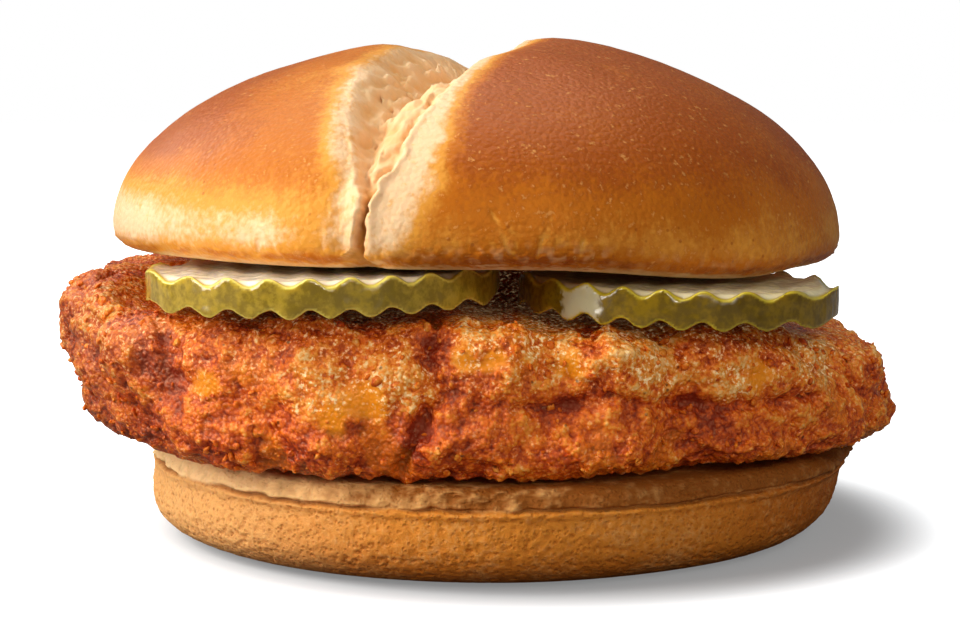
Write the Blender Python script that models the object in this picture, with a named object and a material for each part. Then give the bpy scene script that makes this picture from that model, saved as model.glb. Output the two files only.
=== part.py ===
"""A chicken burger: a split top bun, two crinkle-cut pickle slices, a fried chicken fillet and a bottom bun.

Metres, +Z up. The origin is the centre of the bottom bun's flat base, -Y is the front and +X is the
front view's right. Each piece is one closed solid, and neighbours keep a small gap.
"""

import math

import bmesh
import bpy
from mathutils import Matrix, Vector, noise

MM = 0.001
TOUCH_GAP = 0.35 * MM
SHARP_ANGLE = math.radians(50)

# Bottom bun
BASE_RADIUS = 51.4 * MM
FOOT_INSET = 9.0 * MM
FOOT_RIGHT_INSET = 0.9 * MM
FOOT_RISE = 6.0 * MM
CRUST_HEIGHT = 10.4 * MM
CRUMB_TOP = 14.2 * MM
CRUMB_BULGE = 0.9 * MM
CUT_GROOVE = 1.1 * MM
CUT_GROOVE_RISE = 0.5 * MM
CUT_LIP = 2.6 * MM
CUT_LIP_ZONE = (0.55, 1.0)
CUT_WAVE = 0.7 * MM
CUT_WAVE_FINENESS = 3.0
BASE_WOBBLE = 1.4 * MM
BASE_WOBBLE_FINENESS = 1.6
CRUMB_TEAR = 0.9 * MM
CRUMB_TEAR_FINENESS = 7.0
BASE_ROUND_STEPS = 4
BAND_STEPS = 3
BASE_SEGMENTS = 72

# Top bun
BUN_CENTRE = Vector((-3.0, 0.0)) * MM
BUN_RADIUS = 54.0 * MM
BUN_TOP = 73.0 * MM
BUN_UNDERSIDE = 42.5 * MM
BUN_WAIST = 3.7 * MM
BUN_EDGE_ROUND = 5.0 * MM
BUN_SEGMENTS = 88
BUN_CROWDING = 0.34
DOME_RINGS = 16
DOME_RING_POWER = 1.12
EDGE_STEPS = 3
CUT_FACE_RINGS = (0.70, 0.40, 0.15)
LEFT_DROOP = 0.7 * MM
LEFT_DROOP_ZONE = (-40 * MM, -57 * MM)
RIGHT_DROOP = 2.8 * MM
RIGHT_DROOP_ZONE = (4 * MM, 52 * MM)
BACK_SAG = 3.2 * MM
BACK_SAG_ZONE = (-20 * MM, 48 * MM)
LEFT_SHOULDER_DROP = 0.8 * MM
LEFT_SHOULDER_ZONE = (-16 * MM, -30 * MM)
DOME_WOBBLE = 0.8 * MM
DOME_WOBBLE_SPACING = 22 * MM

# The split that runs across the top bun, from the front rim to the back rim: a crack with a broad shoulder
SPLIT_MIDDLE = Vector((-3.7, 0.0)) * MM
SPLIT_TURN = math.radians(15.8)
SPLIT_ALONG = Vector((-math.sin(SPLIT_TURN), -math.cos(SPLIT_TURN)))
SPLIT_ACROSS = Vector((math.cos(SPLIT_TURN), -math.sin(SPLIT_TURN)))
SPLIT_MIDDLE_HALF = 14 * MM
SPLIT_HALF_LENGTH = 52 * MM
SPLIT_DEPTH = 6.0 * MM
SPLIT_RIM_DEPTH = 3.8 * MM
SPLIT_LEFT = {"width": 10.0 * MM, "steepness": 1.3, "torn": 6.5 * MM}
SPLIT_RIGHT = {"width": 7.0 * MM, "steepness": 2.0, "torn": 2.6 * MM}
SPLIT_RIM_WIDTH = 4.2 * MM
SPLIT_RIM_TORN = 0.25
SHOULDER_DEPTH = 3.0 * MM
SHOULDER_WIDTH = 13.5 * MM
TORN_RELIEF = 1.3 * MM
TORN_GRAIN = 5 * MM

# Sideways wander of the split: how far it strays, and the length along the split of one radian of the wave
SPLIT_WANDER = ((1.3 * MM, 8.5 * MM), (0.7 * MM, 3.7 * MM))

# Fillet
FILLET_CENTRE = Vector((-3.3, 0.0)) * MM
FILLET_HALF_LENGTH = 61.6 * MM
FILLET_HALF_DEPTH = 51.0 * MM
FILLET_PLAN_POWER = 2.35
FILLET_TOP = 39.4 * MM
FILLET_RIGHT_DROP = 10.3 * MM
FILLET_RIGHT_ZONE = (8 * MM, 60 * MM)
FILLET_LEFT_CURL = 6.8 * MM
FILLET_CURL_REACH = (52 * MM, 68 * MM)
FILLET_CURL_ZONE = (-20 * MM, -50 * MM)
FILLET_FRONT_LIFT = 1.0 * MM
FILLET_RIGHT_HANG = 2.4 * MM
FILLET_HANG_ZONE = (54 * MM, 60 * MM)
FILLET_RIM_START = 0.86
FILLET_RIM_SQUARE = 0.66
FILLET_SEGMENTS = 132
FILLET_RIM_STEPS = 15
FILLET_FLAT_RINGS = (0.22, 0.40, 0.55, 0.67, 0.77)
LUMP_SPACING = 15.0 * MM
LUMP_RELIEF = 3.4 * MM
LUMP_CONTRAST = 1.9
CRAG_SPACING = 5.0 * MM
CRAG_RELIEF = 1.2 * MM
BED_MARGIN = 4.3 * MM
BED_SLOPE = 4.6 * MM

# Big lumps and creases on the fillet's front: x and height of each, its radius, and how far it stands out
FRONT_LUMPS = (
    (-27.0, 29.0, 8.5, 2.2),
    (-16.5, 25.5, 7.5, 1.6),
    (0.5, 31.5, 8.0, 2.0),
    (-2.0, 20.5, 8.5, 1.8),
    (15.0, 31.0, 8.5, 2.0),
    (34.0, 30.0, 9.0, 2.2),
    (18.0, 20.0, 9.0, 1.2),
    (-8.8, 31.5, 3.4, -2.0),
    (-9.6, 24.5, 3.2, -2.2),
    (8.5, 25.6, 3.6, -2.2),
    (16.0, 25.0, 3.4, -1.8),
    (27.0, 24.8, 3.4, -1.6),
)

# Pickle slices: centre, radius, ridge angle, ridge phase, tilt towards the back and tilt towards the right
PICKLE_THICKNESS = 4.1 * MM
PICKLE_SEGMENTS = 48
RIDGE_HEIGHT = 0.65 * MM
RIDGE_STEPS = 6
PICKLES = {
    "pickle_left": {
        "centre": Vector((-23.8, -31.2, 39.25)) * MM,
        "radius": 24.0 * MM,
        "ridge_angle": math.radians(-5),
        "ridge_pitch": 5.2 * MM,
        "ridge_phase": -2.1 * MM,
        "tilt_back": math.radians(1.0),
        "tilt_right": math.radians(-0.8),
    },
    "pickle_right": {
        "centre": Vector((25.1, -28.6, 37.35)) * MM,
        "radius": 22.0 * MM,
        "ridge_angle": math.radians(15),
        "ridge_pitch": 5.2 * MM,
        "ridge_phase": 1.65 * MM,
        "tilt_back": math.radians(0.6),
        "tilt_right": math.radians(2.4),
    },
}

COLOURS = {
    "top_bun": ((0.50, 0.22, 0.06, 1.0), 0.38),
    "bottom_bun": ((0.52, 0.26, 0.09, 1.0), 0.72),
    "chicken_fillet": ((0.47, 0.16, 0.03, 1.0), 0.48),
    "pickle_left": ((0.26, 0.24, 0.04, 1.0), 0.30),
    "pickle_right": ((0.22, 0.20, 0.03, 1.0), 0.30),
}


def clear_scene():
    for old in list(bpy.data.objects):
        bpy.data.objects.remove(old, do_unlink=True)


def ease(value, start, end):
    """Rises smoothly from 0 at start to 1 at end. The end may lie below the start."""
    share = min(1.0, max(0.0, (value - start) / (end - start)))
    return share * share * (3.0 - 2.0 * share)


def blend(first, second, share):
    return first + (second - first) * share


def finish(name, mesh_data):
    """Makes the object of a bmesh, with its own material, shaded smooth up to sharp edges."""
    bmesh.ops.recalc_face_normals(mesh_data, faces=mesh_data.faces)
    mesh = bpy.data.meshes.new(name)
    mesh_data.to_mesh(mesh)
    mesh_data.free()
    made = bpy.data.objects.new(name, mesh)
    bpy.context.scene.collection.objects.link(made)
    mesh.shade_smooth()
    mesh.set_sharp_from_angle(angle=SHARP_ANGLE)
    colour, roughness = COLOURS[name]
    material = bpy.data.materials.new(name)
    material.use_nodes = True
    shader = material.node_tree.nodes["Principled BSDF"]
    shader.inputs["Base Color"].default_value = colour
    shader.inputs["Roughness"].default_value = roughness
    mesh.materials.append(material)
    return made


def skin_rings(rings):
    """A closed bmesh from rings of points, each ring one loop, with a single point at each end."""
    built = bmesh.new()
    rows = [[built.verts.new(point) for point in ring] for ring in rings]
    for first, second in zip(rows, rows[1:]):
        count = max(len(first), len(second))
        for step in range(count):
            after = (step + 1) % count
            if len(first) == 1:
                corners = (first[0], second[after], second[step])
            elif len(second) == 1:
                corners = (first[step], first[after], second[0])
            else:
                corners = (first[step], first[after], second[after], second[step])
            built.faces.new(corners)
    return built


# Bottom bun


def base_profile():
    """Outline from the base's centre to the crumb's centre: radius, height, and how far cut edges move it."""
    start = BASE_RADIUS - FOOT_INSET
    profile = [(0.0, 0.0, 0.0), (start * 0.5, 0.0, 0.0), (start, 0.0, 0.0)]
    for step in range(1, BASE_ROUND_STEPS + 1):
        turn = math.pi / 2 * step / BASE_ROUND_STEPS
        profile.append((start + FOOT_INSET * math.sin(turn), FOOT_RISE * (1 - math.cos(turn)), 0.0))
    profile.append((BASE_RADIUS, CRUST_HEIGHT, 0.25))
    profile.append((BASE_RADIUS - CUT_GROOVE, CRUST_HEIGHT + CUT_GROOVE_RISE, 0.5))
    band = (CRUMB_TOP - CRUST_HEIGHT - CUT_GROOVE_RISE) / 2
    middle = CRUMB_TOP - band
    for step in range(BAND_STEPS + 1):
        turn = math.pi / 2 * step / BAND_STEPS
        radius = BASE_RADIUS - CUT_GROOVE + CRUMB_BULGE * math.cos(turn) - band * (1 - math.cos(turn))
        profile.append((radius, middle + band * math.sin(turn), 1.0 - 0.5 * step / BAND_STEPS))
    profile.append((BASE_RADIUS * 0.75, CRUMB_TOP, 0.0))
    profile.append((BASE_RADIUS * 0.40, CRUMB_TOP, 0.0))
    profile.append((0.0, CRUMB_TOP, 0.0))
    return profile


def base_point(around, radius, height, cut_share):
    """A point of the bottom bun, with an uneven rim, a foot drawn in at the right and a torn cut edge."""
    outward = Vector((math.cos(around), math.sin(around), 0.0))
    rim_share = radius / BASE_RADIUS
    wobble = noise.noise(outward * BASE_WOBBLE_FINENESS + Vector((3.1, 0.0, 7.0)))
    tear = noise.noise(outward * CRUMB_TEAR_FINENESS + Vector((0.0, 5.0, height / MM * 0.6)))
    reach = radius + wobble * BASE_WOBBLE * rim_share + tear * CRUMB_TEAR * cut_share
    reach -= FOOT_RIGHT_INSET * outward.x * rim_share * (1.0 - ease(height, 0.0, CRUST_HEIGHT))
    reach += CUT_LIP * ease(outward.x, *CUT_LIP_ZONE) * cut_share
    if CRUST_HEIGHT <= height < CRUMB_TOP - CUT_GROOVE_RISE:
        height += noise.noise(outward * CUT_WAVE_FINENESS + Vector((9.0, 2.0, 1.0))) * CUT_WAVE
    return outward * reach + Vector((0.0, 0.0, height))


def make_bottom_bun():
    rings = []
    for radius, height, cut_share in base_profile():
        count = BASE_SEGMENTS if radius else 1
        turns = [2 * math.pi * step / count for step in range(count)]
        rings.append([base_point(around, radius, height, cut_share) for around in turns])
    return finish("bottom_bun", skin_rings(rings))


# Top bun


def bun_underside(x, y):
    """Height of the top bun's cut face. It droops past the pickles at both ends and sags at the back."""
    left = LEFT_DROOP * ease(x, *LEFT_DROOP_ZONE)
    right = RIGHT_DROOP * ease(x, *RIGHT_DROOP_ZONE)
    back = BACK_SAG * ease(y, *BACK_SAG_ZONE)
    return BUN_UNDERSIDE - left - right - back


def split_at(x, y):
    """(depth, torn share) of the split at a place: how deep its valley is, and how torn its crumb."""
    place = Vector((x, y)) - SPLIT_MIDDLE
    along = place.dot(SPLIT_ALONG)
    across = place.dot(SPLIT_ACROSS) - sum(size * math.sin(along / length) for size, length in SPLIT_WANDER)
    side = SPLIT_LEFT if across < 0 else SPLIT_RIGHT
    to_rim = ease(abs(along), SPLIT_MIDDLE_HALF, SPLIT_HALF_LENGTH)
    share = min(1.0, abs(across) / blend(side["width"], SPLIT_RIM_WIDTH, to_rim))
    depth = blend(SPLIT_DEPTH, SPLIT_RIM_DEPTH, to_rim) * (1.0 - share) ** side["steepness"]
    depth += SHOULDER_DEPTH * (1.0 - to_rim) * (1.0 - ease(abs(across), 0.0, SHOULDER_WIDTH))
    torn_edge = side["torn"] * blend(1.0, SPLIT_RIM_TORN, to_rim)
    return depth, 1.0 - ease(abs(across), 0.7 * torn_edge, 1.2 * torn_edge)


def bun_angles():
    """Angles round the top bun, closer together where the split meets the rim."""
    split_angle = math.atan2(SPLIT_ALONG.y, SPLIT_ALONG.x)
    turns = [2 * math.pi * step / BUN_SEGMENTS for step in range(BUN_SEGMENTS)]
    return [split_angle + turn - BUN_CROWDING * math.sin(2 * turn) for turn in turns]


def bun_radius(around):
    """Rim radius of the top bun: two lobes a little rounder than a circle."""
    wave = 0.012 * math.sin(2 * around + 0.8) + 0.007 * math.sin(3 * around + 2.0)
    return BUN_RADIUS * (1.0 + wave - 0.004)


def dome_point(around, climb):
    """A point on the top bun's upper skin. The climb is 0 at the top and a quarter turn at its widest."""
    radius = bun_radius(around) * math.sin(climb)
    x = BUN_CENTRE.x + radius * math.cos(around)
    y = BUN_CENTRE.y + radius * math.sin(around)
    waist = bun_underside(x, y) + BUN_WAIST
    drop = LEFT_SHOULDER_DROP * ease(x, *LEFT_SHOULDER_ZONE)
    height = waist + (BUN_TOP - drop - waist) * math.cos(climb)
    height += noise.noise(Vector((x, y, 0.0)) / DOME_WOBBLE_SPACING) * DOME_WOBBLE * math.cos(climb)
    depth, torn = split_at(x, y)
    outward = Vector((math.cos(around) * math.sin(climb), math.sin(around) * math.sin(climb), math.cos(climb)))
    crumb = noise.fractal(Vector((x, y, height)) / TORN_GRAIN, 1.0, 2.0, 2) * TORN_RELIEF * torn
    return Vector((x, y, height)) - outward * (depth - crumb)


def under_point(around, radius, height_share):
    """A point below the widest ring. The height share is 1 at the waist and 0 on the cut face."""
    x = BUN_CENTRE.x + radius * math.cos(around)
    y = BUN_CENTRE.y + radius * math.sin(around)
    depth, _ = split_at(x, y)
    near_rim = ease(radius, BUN_RADIUS - 15 * MM, BUN_RADIUS - 4 * MM)
    inward = depth * near_rim
    x -= inward * math.cos(around)
    y -= inward * math.sin(around)
    return Vector((x, y, bun_underside(x, y) + BUN_WAIST * height_share))


def make_top_bun():
    angles = bun_angles()
    rings = [[dome_point(angles[0], 0.0)]]
    for ring in range(1, DOME_RINGS + 1):
        climb = math.pi / 2 * (ring / DOME_RINGS) ** DOME_RING_POWER
        rings.append([dome_point(around, climb) for around in angles])
    for step in range(1, EDGE_STEPS + 1):
        turn = math.pi / 2 * step / EDGE_STEPS
        inset = BUN_EDGE_ROUND * (1 - math.cos(turn))
        share = 1 - math.sin(turn)
        rings.append([under_point(around, bun_radius(around) - inset, share) for around in angles])
    for share in CUT_FACE_RINGS:
        rings.append([under_point(around, bun_radius(around) * share, 0.0) for around in angles])
    rings.append([under_point(0.0, 0.0, 0.0)])
    return finish("top_bun", skin_rings(rings))


# Pickles


def pickle_plane(pickle):
    """The slice's placement: turned so that its ridges lie right, tilted, and set at its centre."""
    tilt = Matrix.Rotation(pickle["tilt_right"], 4, "Y") @ Matrix.Rotation(-pickle["tilt_back"], 4, "X")
    return Matrix.Translation(pickle["centre"]) @ tilt


def pickle_floor(pickle, x, y):
    """Height of the lowest points of a slice's underside above a place."""
    placement = pickle_plane(pickle)
    normal = placement.to_3x3() @ Vector((0.0, 0.0, 1.0))
    centre = pickle["centre"]
    level = centre.z - (normal.x * (x - centre.x) + normal.y * (y - centre.y)) / normal.z
    return level - PICKLE_THICKNESS / 2 - RIDGE_HEIGHT


def make_ridged_slab(pickle):
    """A slab wider than the slice, with the same wave on both faces, its ridges along its own Y."""
    reach = pickle["radius"] + 2 * MM
    pitch = pickle["ridge_pitch"]
    count = math.ceil(2 * reach / pitch * RIDGE_STEPS)
    edge = []
    for step in range(count + 1):
        x = -reach + 2 * reach * step / count
        wave = RIDGE_HEIGHT * math.cos(2 * math.pi * (x - pickle["ridge_phase"]) / pitch)
        edge.append((x, wave))
    half = PICKLE_THICKNESS / 2
    outline = [(x, wave - half) for x, wave in edge] + [(x, wave + half) for x, wave in reversed(edge)]
    built = bmesh.new()
    face = built.faces.new([built.verts.new((x, -reach, z)) for x, z in outline])
    pushed = bmesh.ops.extrude_face_region(built, geom=[face])
    moved = [item for item in pushed["geom"] if isinstance(item, bmesh.types.BMVert)]
    bmesh.ops.translate(built, verts=moved, vec=(0.0, 2 * reach, 0.0))
    return built


def make_pickle(name, pickle):
    built = make_ridged_slab(pickle)
    turn = Matrix.Rotation(-pickle["ridge_angle"], 4, "Z")
    bmesh.ops.transform(built, matrix=turn, verts=built.verts)
    made = finish(name, built)
    made.matrix_world = pickle_plane(pickle)

    rim = bmesh.new()
    bmesh.ops.create_cone(
        rim, cap_ends=True, segments=PICKLE_SEGMENTS, depth=30 * MM,
        radius1=pickle["radius"], radius2=pickle["radius"],
    )
    for corner in rim.verts:
        around = math.atan2(corner.co.y, corner.co.x)
        corner.co.xy *= 1.0 + 0.012 * math.sin(2 * around + 0.5) + 0.008 * math.sin(3 * around)
    mesh = bpy.data.meshes.new(name + "_rim")
    rim.to_mesh(mesh)
    rim.free()
    cutter = bpy.data.objects.new(name + "_rim", mesh)
    bpy.context.scene.collection.objects.link(cutter)
    cutter.matrix_world = pickle_plane(pickle)
    cutter.hide_render = True
    cutter.display_type = "WIRE"
    trim = made.modifiers.new("rim", "BOOLEAN")
    trim.operation = "INTERSECT"
    trim.object = cutter
    return made


# Fillet


def fillet_outline(around):
    """Plan outline of the fillet, from its centre: a rounded oblong with uneven sides."""
    power = FILLET_PLAN_POWER
    across = abs(math.cos(around) / FILLET_HALF_LENGTH) ** power
    deep = abs(math.sin(around) / FILLET_HALF_DEPTH) ** power
    radius = (across + deep) ** (-1 / power)
    radius *= 1.0 + 0.012 * math.sin(3 * around + 1.0) + 0.012 * math.sin(5 * around + 2.6)
    return Vector((math.cos(around), math.sin(around))) * radius


def fillet_ceiling(x, y):
    """Highest the fillet may reach at a place: its own top, the top bun's cut face, and each pickle's bed."""
    height = FILLET_TOP - FILLET_RIGHT_DROP * ease(x, *FILLET_RIGHT_ZONE)
    height = min(height, bun_underside(x, y) - TOUCH_GAP)
    for pickle in PICKLES.values():
        from_centre = (Vector((x, y)) - pickle["centre"].xy).length
        bed = pickle_floor(pickle, x, y) - TOUCH_GAP
        slope_start = pickle["radius"] + BED_MARGIN
        inside = 1.0 - ease(from_centre, slope_start, slope_start + BED_SLOPE)
        height = blend(height, min(height, bed), inside)
    return height


def fillet_floor(x, y):
    """Lowest the fillet may reach: it lies on the bottom bun and curls up where it overhangs at the left."""
    rest = CRUMB_TOP + TOUCH_GAP
    curl = FILLET_LEFT_CURL * ease(math.hypot(x, y), *FILLET_CURL_REACH) * ease(x, *FILLET_CURL_ZONE)
    lift = FILLET_FRONT_LIFT * ease(x, 0.0, 30 * MM) * ease(y, -20 * MM, -48 * MM)
    hang = FILLET_RIGHT_HANG * ease(x, *FILLET_HANG_ZONE)
    return rest + curl + lift - hang


def fillet_relief(point):
    """How far the coating stands out at a point: rounded lumps parted by creases, with crags on them."""
    nearest, _ = noise.voronoi(point / LUMP_SPACING + Vector((4.3, 1.7, 2.2)))
    lump = min(1.0, (nearest[1] - nearest[0]) * LUMP_CONTRAST)
    crag = noise.fractal(point / CRAG_SPACING, 0.8, 2.0, 2)
    relief = LUMP_RELIEF * (lump ** 0.7 - 0.75) + CRAG_RELIEF * crag
    if point.y < 0:
        for x, z, radius, height in FRONT_LUMPS:
            away = math.hypot(point.x / MM - x, point.z / MM - z)
            relief += height * MM * (1.0 - ease(away, 0.0, radius))
    return relief


def fillet_point(around, reach, rise):
    """A point at a share of the way out to the fillet's outline. The rise is 1 on top and -1 underneath."""
    place = FILLET_CENTRE + fillet_outline(around) * reach
    ceiling, floor = fillet_ceiling(place.x, place.y), fillet_floor(place.x, place.y)
    point = Vector((place.x, place.y, (ceiling + floor) / 2 + rise * (ceiling - floor) / 2))
    relief = fillet_relief(point)
    outward = ease(reach, FILLET_RIM_START, 1.0)
    point += Vector((math.cos(around), math.sin(around), 0.0)) * relief * outward
    if rise > 0:
        point.z = min(point.z, fillet_ceiling(point.x, point.y))
        point.z -= max(0.0, 1.0 * MM - relief) * 0.5 * rise
    else:
        point.z = max(point.z, fillet_floor(point.x, point.y))
    return point


def make_fillet():
    stops = [(0.0, 1.0)] + [(reach, 1.0) for reach in FILLET_FLAT_RINGS]
    for step in range(FILLET_RIM_STEPS + 1):
        turn = math.pi * step / FILLET_RIM_STEPS
        reach = FILLET_RIM_START + (1.0 - FILLET_RIM_START) * abs(math.sin(turn)) ** FILLET_RIM_SQUARE
        rise = math.copysign(abs(math.cos(turn)) ** FILLET_RIM_SQUARE, math.cos(turn))
        stops.append((reach, rise))
    stops += [(reach, -1.0) for reach in reversed(FILLET_FLAT_RINGS)] + [(0.0, -1.0)]
    rings = []
    for reach, rise in stops:
        count = FILLET_SEGMENTS if reach else 1
        turns = [2 * math.pi * step / count for step in range(count)]
        rings.append([fillet_point(around, reach, rise) for around in turns])
    return finish("chicken_fillet", skin_rings(rings))


def main():
    clear_scene()
    make_bottom_bun()
    make_fillet()
    for name, pickle in PICKLES.items():
        make_pickle(name, pickle)
    make_top_bun()
    bpy.context.view_layer.update()


main()
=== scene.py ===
# Chicken burger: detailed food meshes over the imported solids, on a pale floor in soft light.
import math

import bpy
import numpy as np
from mathutils import Matrix, Vector, noise


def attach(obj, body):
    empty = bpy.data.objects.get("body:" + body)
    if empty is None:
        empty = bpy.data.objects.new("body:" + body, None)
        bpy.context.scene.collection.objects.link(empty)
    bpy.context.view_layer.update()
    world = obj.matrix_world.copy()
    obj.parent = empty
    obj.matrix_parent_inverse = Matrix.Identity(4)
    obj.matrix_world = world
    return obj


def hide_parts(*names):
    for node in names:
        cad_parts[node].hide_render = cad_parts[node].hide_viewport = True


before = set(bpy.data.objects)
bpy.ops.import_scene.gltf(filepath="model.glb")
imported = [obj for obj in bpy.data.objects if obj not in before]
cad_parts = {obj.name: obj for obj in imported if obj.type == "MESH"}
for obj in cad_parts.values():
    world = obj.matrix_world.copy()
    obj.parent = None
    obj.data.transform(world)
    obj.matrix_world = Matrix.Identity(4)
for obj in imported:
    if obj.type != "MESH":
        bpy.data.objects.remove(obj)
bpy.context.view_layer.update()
scene = bpy.context.scene
mm = 0.001
mmPerMetre = 1000.0
white = (1.0, 1.0, 1.0)
black = (0.0, 0.0, 0.0)


# General helpers

def makeActive(piece):
    bpy.ops.object.select_all(action="DESELECT")
    piece.select_set(True)
    bpy.context.view_layer.objects.active = piece


def applyModifier(piece, kind, **values):
    makeActive(piece)
    made = piece.modifiers.new(kind.title(), kind)
    for name, value in values.items():
        setattr(made, name, value)
    bpy.ops.object.modifier_apply(modifier=made.name)


def copyOfNode(nodeName, pieceName, weldWithin=0.002):
    # the node's mesh is loose triangles, so the copy is merged and turned to quads
    piece = bpy.data.objects.new(pieceName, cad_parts[nodeName].data.copy())
    scene.collection.objects.link(piece)
    piece.data.name = pieceName
    piece.data.materials.clear()
    makeActive(piece)
    bpy.ops.object.mode_set(mode="EDIT")
    bpy.ops.mesh.select_all(action="SELECT")
    bpy.ops.mesh.remove_doubles(threshold=weldWithin * mm)
    bpy.ops.mesh.tris_convert_to_quads()
    bpy.ops.object.mode_set(mode="OBJECT")
    return piece


def smoothLevels(piece, levels):
    applyModifier(piece, "SUBSURF", levels=levels, render_levels=levels)


def pointsOf(piece):
    # vertex places in millimetres
    flat = np.empty(len(piece.data.vertices) * 3, np.float64)
    piece.data.vertices.foreach_get("co", flat)
    return flat.reshape(-1, 3) * mmPerMetre


def setPoints(piece, points):
    piece.data.vertices.foreach_set("co", (points * mm).ravel())
    piece.data.update()


def normalsOf(piece):
    flat = np.empty(len(piece.data.vertices) * 3, np.float64)
    piece.data.vertex_normals.foreach_get("vector", flat)
    return flat.reshape(-1, 3)


def subdivideWhere(piece, chooser, cuts):
    # splits the faces whose middles the chooser picks
    mesh = piece.data
    middles = np.empty(len(mesh.polygons) * 3, np.float64)
    mesh.polygons.foreach_get("center", middles)
    picked = chooser(middles.reshape(-1, 3) * mmPerMetre)
    mesh.vertices.foreach_set("select", np.zeros(len(mesh.vertices), bool))
    mesh.edges.foreach_set("select", np.zeros(len(mesh.edges), bool))
    mesh.polygons.foreach_set("select", picked)
    makeActive(piece)
    bpy.ops.object.mode_set(mode="EDIT")
    bpy.ops.mesh.select_mode(type="FACE")
    bpy.ops.mesh.subdivide(number_cuts=cuts)
    bpy.ops.object.mode_set(mode="OBJECT")


def shadeSmooth(piece):
    makeActive(piece)
    bpy.ops.object.shade_smooth()


def storeMask(piece, name, values):
    # a share from 0 to 1 at each vertex, read by the material as an attribute
    made = piece.data.attributes.new(name, "FLOAT", "POINT")
    made.data.foreach_set("value", np.asarray(values, np.float32))


def ease(value, start, end):
    # 0 up to the start, 1 from the end on, smooth between
    share = np.clip((value - start) / (end - start), 0.0, 1.0)
    return share * share * (3.0 - 2.0 * share)


def bell(value, middle, width):
    # 1 at the middle, falling smoothly to nothing over about two widths each way
    return np.exp(-((value - middle) / width) ** 2)


def softNoise(points, size, seed):
    # smooth noise from about -1 to 1, its lumps about one size across
    places = (points / size + seed).tolist()
    return np.array([noise.noise(place) for place in places])


def noiseVector(points, size, seeds):
    # three soft noises side by side, to shift places by
    return np.stack([softNoise(points, size, seed) for seed in seeds], axis=1)


def roughNoise(points, size, seed, octaves=3):
    # layers of noise, each twice as fine as the one before
    places = (points / size + seed).tolist()
    return np.array([noise.fractal(place, 0.7, 2.0, octaves) for place in places])


def cellDistance(points, size, seed):
    # distance to the nearest cell's middle, in cells
    places = (points / size + seed).tolist()
    return np.array([noise.voronoi(place)[0][0] for place in places])


def distanceToPath(points, path):
    # distance in the front view from each point to a line of x and height places, mm
    flat = points[:, [0, 2]]
    nearest = np.full(len(points), 1e3)
    for first, second in zip(path, path[1:]):
        first = np.array(first)
        step = np.array(second) - first
        share = np.clip(((flat - first) @ step) / (step @ step), 0.0, 1.0)
        nearest = np.minimum(nearest, np.linalg.norm(flat - first - share[:, None] * step, axis=1))
    return nearest


def standIn(piece, nodeName):
    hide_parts(nodeName)
    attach(piece, "root")


# Shader helpers

def newMaterial(name):
    made = bpy.data.materials.new(name)
    made.use_nodes = True
    tree = made.node_tree
    return made, tree, tree.nodes["Principled BSDF"]


def addNode(tree, kind, **values):
    made = tree.nodes.new(kind)
    for name, value in values.items():
        if name in made.inputs:
            made.inputs[name].default_value = value
        else:
            setattr(made, name, value)
    return made


def mathOf(tree, operation, first, second=0.0, third=0.0, clamp=False):
    made = tree.nodes.new("ShaderNodeMath")
    made.operation = operation
    made.use_clamp = clamp
    for socket, value in zip(made.inputs, (first, second, third)):
        if isinstance(value, (int, float)):
            socket.default_value = value
        else:
            tree.links.new(value, socket)
    return made.outputs[0]


def partOf(tree, mask, share):
    return mathOf(tree, "MULTIPLY", mask, share)


def mixOf(tree, factor, first, second, blendType="MIX"):
    # sockets 0, 6 and 7 are the factor and the two colours
    made = tree.nodes.new("ShaderNodeMix")
    made.data_type = "RGBA"
    made.blend_type = blendType
    made.clamp_factor = True
    for socket, value in zip((made.inputs[0], made.inputs[6], made.inputs[7]), (factor, first, second)):
        if isinstance(value, (int, float)):
            socket.default_value = value
        elif isinstance(value, tuple):
            socket.default_value = value if len(value) == 4 else (*value, 1.0)
        else:
            tree.links.new(value, socket)
    return made.outputs[2]


def rampOf(tree, factor, stops):
    made = tree.nodes.new("ShaderNodeValToRGB")
    made.color_ramp.interpolation = "EASE"
    elements = made.color_ramp.elements
    while len(elements) < len(stops):
        elements.new(0.5)
    for element, (place, colour) in zip(elements, stops):
        element.position = place
        element.color = (*colour, 1.0)
    tree.links.new(factor, made.inputs[0])
    return made.outputs[0]


def maskOf(tree, name):
    made = tree.nodes.new("ShaderNodeAttribute")
    made.attribute_name = name
    return made.outputs["Fac"]


def rangeOf(tree, value, low, high, lowTo=0.0, highTo=1.0):
    # goes smoothly from lowTo at low to highTo at high
    made = tree.nodes.new("ShaderNodeMapRange")
    made.interpolation_type = "SMOOTHSTEP"
    for socket, number in zip(made.inputs[1:5], (low, high, lowTo, highTo)):
        socket.default_value = number
    tree.links.new(value, made.inputs[0])
    return made.outputs[0]


def newGroup(name, inputs, outputs):
    tree = bpy.data.node_groups.new(name, "ShaderNodeTree")
    for socketName, value in inputs.items():
        socket = tree.interface.new_socket(socketName, in_out="INPUT", socket_type="NodeSocketFloat")
        socket.default_value = value
    for socketName in outputs:
        tree.interface.new_socket(socketName, in_out="OUTPUT", socket_type="NodeSocketFloat")
    return tree, tree.nodes.new("NodeGroupInput"), tree.nodes.new("NodeGroupOutput")


def scaleFor(tree, size):
    # texture scale for a feature size in mm
    return mathOf(tree, "DIVIDE", mmPerMetre, size)


def useGroup(tree, group, values):
    made = tree.nodes.new("ShaderNodeGroup")
    made.node_tree = group
    for name, value in values.items():
        made.inputs[name].default_value = value
    return made.outputs


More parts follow.
